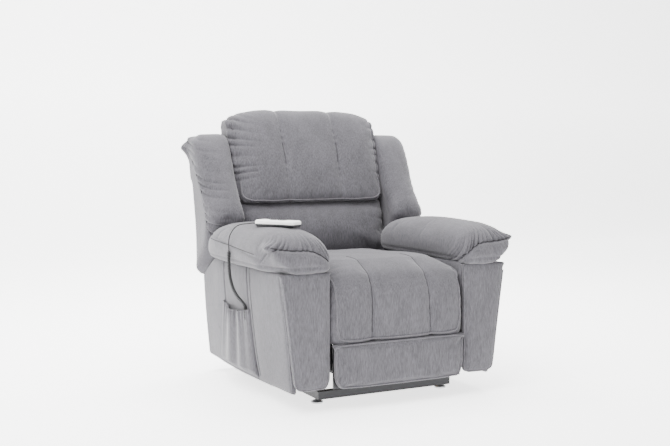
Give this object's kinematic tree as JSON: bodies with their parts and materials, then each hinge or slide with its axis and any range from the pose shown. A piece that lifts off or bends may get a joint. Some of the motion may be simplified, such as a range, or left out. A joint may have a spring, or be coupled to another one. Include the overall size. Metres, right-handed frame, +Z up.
{
  "type": "lift recliner chair",
  "caption": "Power lift recliner armchair in grey fabric, with head pillow, side pocket, wired handset, folding footrest and a steel lift base.",
  "frame": {"origin": "middle of the floor plan, on the floor under the levelling feet", "axes": "+Z up, the chair faces -Y, +X is towards the sitter's left"},
  "size_m": [0.99, 0.91, 1.048],
  "materials": {
    "upholstery": "matte",
    "rear_cloth": "matte",
    "black_steel": "satin",
    "zinc_steel": "satin",
    "frame_wood": "matte",
    "black_plastic": "satin",
    "white_plastic": "satin",
    "cord_rubber": "matte"
  },
  "bodies": {
    "base": {"base_rail_right": "black_steel", "base_rail_left": "black_steel", "levelling_foot_front_right": "zinc_steel", "levelling_foot_front_left": "zinc_steel", "levelling_foot_rear_right": "zinc_steel", "levelling_foot_rear_left": "zinc_steel", "base_front_cross_tube": "black_steel", "base_rear_cross_tube": "black_steel"},
    "lift_arms": {"lift_arm_right": "black_steel", "lift_arm_left": "black_steel", "lift_tube": "black_steel"},
    "stabilisers": {"stabiliser_link_right": "black_steel", "stabiliser_link_left": "black_steel"},
    "lift_actuator": {"lift_actuator_body": "black_plastic"},
    "lift_rod": {"lift_actuator_rod": "zinc_steel"},
    "carrier": {"carrier_side_plate_right": "black_steel", "carrier_side_plate_left": "black_steel", "carrier_cross_tube": "black_steel", "footrest_rear_shaft": "black_steel", "footrest_front_shaft": "black_steel", "seat_deck": "frame_wood", "seat_cushion": "upholstery", "power_box": "black_plastic", "power_inlet": "black_plastic", "rear_valance": "rear_cloth", "arm_outer_panel_right": "upholstery", "arm_outer_panel_left": "upholstery", "arm_inner_panel_right": "upholstery", "arm_inner_panel_left": "upholstery", "arm_front_panel_right": "upholstery", "arm_front_panel_left": "upholstery", "arm_pad_right": "upholstery", "arm_pad_left": "upholstery", "side_pocket": "upholstery", "handset_lower_shell": "black_plastic", "handset_upper_shell": "white_plastic", "handset_strain_relief": "black_plastic", "handset_lead": "cord_rubber", "handset_curly_cord": "cord_rubber"},
    "button_down": {"handset_button_down": "black_plastic"},
    "button_up": {"handset_button_up": "black_plastic"},
    "back": {"back_rear_cover": "rear_cloth", "back_frame": "frame_wood", "recline_hinge_right": "black_steel", "recline_hinge_left": "black_steel", "recline_lever": "black_steel", "lumbar_cushion": "upholstery", "head_pillow": "upholstery", "wing_right": "upholstery", "wing_left": "upholstery"},
    "recline_actuator": {"recline_actuator_body": "black_plastic"},
    "recline_rod": {"recline_actuator_rod": "zinc_steel"},
    "footrest_rear_links": {"footrest_rear_link_right": "black_steel", "footrest_rear_link_left": "black_steel"},
    "footrest_long_links": {"footrest_long_link_right": "black_steel", "footrest_long_link_left": "black_steel"},
    "footrest_braces": {"footrest_brace_right": "black_steel", "footrest_brace_left": "black_steel"},
    "footrest": {"footrest_board": "black_steel", "footrest_pad": "upholstery"}
  },
  "joints": [
    {"name": "lift", "type": "hinge", "parent": "base", "child": "lift_arms", "pos_m": [0, -0.285, 0.084], "axis": [1, 0, 0], "range_deg": [0, 50]},
    {"name": "lift_tilt", "type": "hinge", "parent": "lift_arms", "child": "carrier", "pos_m": [0, 0.143, 0.099], "axis": [-1, 0, 0], "range_deg": [0, 28]},
    {"name": "stabiliser_swing", "type": "hinge", "parent": "base", "child": "stabilisers", "pos_m": [0, -0.2777, 0.0988], "axis": [1, 0, 0], "range_deg": [0, 49.34]},
    {"name": "lift_actuator_swing", "type": "hinge", "parent": "base", "child": "lift_actuator", "pos_m": [0, 0.316, 0.07], "axis": [-1, 0, 0], "range_deg": [0, 4.71]},
    {"name": "lift_actuator_stroke", "type": "slide", "parent": "lift_actuator", "child": "lift_rod", "axis": [0, -0.9929, 0.1193], "range_m": [0, 0.07]},
    {"name": "recline", "type": "hinge", "parent": "carrier", "child": "back", "pos_m": [0, 0.3, 0.23], "axis": [-1, 0, 0], "range_deg": [0, 35]},
    {"name": "recline_actuator_swing", "type": "hinge", "parent": "carrier", "child": "recline_actuator", "pos_m": [0.09, 0.1035, 0.2046], "axis": [-1, 0, 0], "range_deg": [0, 10.46]},
    {"name": "recline_actuator_stroke", "type": "slide", "parent": "recline_actuator", "child": "recline_rod", "axis": [0, -0.9497, 0.3132], "range_m": [0, 0.06125]},
    {"name": "footrest_lift", "type": "hinge", "parent": "carrier", "child": "footrest_rear_links", "pos_m": [0, -0.25, 0.285], "axis": [-1, 0, 0], "range_deg": [0, 91.5]},
    {"name": "footrest_elbow", "type": "hinge", "parent": "footrest_rear_links", "child": "footrest_long_links", "pos_m": [0, -0.11, 0.11], "axis": [1, 0, 0], "range_deg": [0, 78.92]},
    {"name": "footrest_board_tilt", "type": "hinge", "parent": "footrest_long_links", "child": "footrest", "pos_m": [0, -0.415, 0.19], "axis": [-1, 0, 0], "range_deg": [0, 71]},
    {"name": "footrest_brace_swing", "type": "hinge", "parent": "carrier", "child": "footrest_braces", "pos_m": [0, -0.3043, 0.288], "axis": [-1, 0, 0], "range_deg": [0, 92.37]},
    {"name": "button_down_press", "type": "slide", "parent": "carrier", "child": "button_down", "axis": [0, 0, -1], "range_m": [0, 0.0015], "stiffness_N_per_m": 400},
    {"name": "button_up_press", "type": "slide", "parent": "carrier", "child": "button_up", "axis": [0, 0, -1], "range_m": [0, 0.0015], "stiffness_N_per_m": 400}
  ],
  "couplings": [
    {"joint": "lift_tilt", "follows": "lift", "ratio": 0.56},
    {"joint": "stabiliser_swing", "follows": "lift", "ratio": 0.9868},
    {"joint": "lift_actuator_swing", "follows": "lift", "ratio": 0.0942},
    {"joint": "lift_actuator_stroke", "follows": "lift", "m_per_rad": 0.080214},
    {"joint": "recline_actuator_swing", "follows": "recline", "ratio": 0.29875},
    {"joint": "recline_actuator_stroke", "follows": "recline", "m_per_rad": 0.10027},
    {"joint": "footrest_elbow", "follows": "footrest_lift", "ratio": 0.86238},
    {"joint": "footrest_board_tilt", "follows": "footrest_lift", "ratio": 0.77596},
    {"joint": "footrest_brace_swing", "follows": "footrest_lift", "ratio": 1.0094}
  ]
}
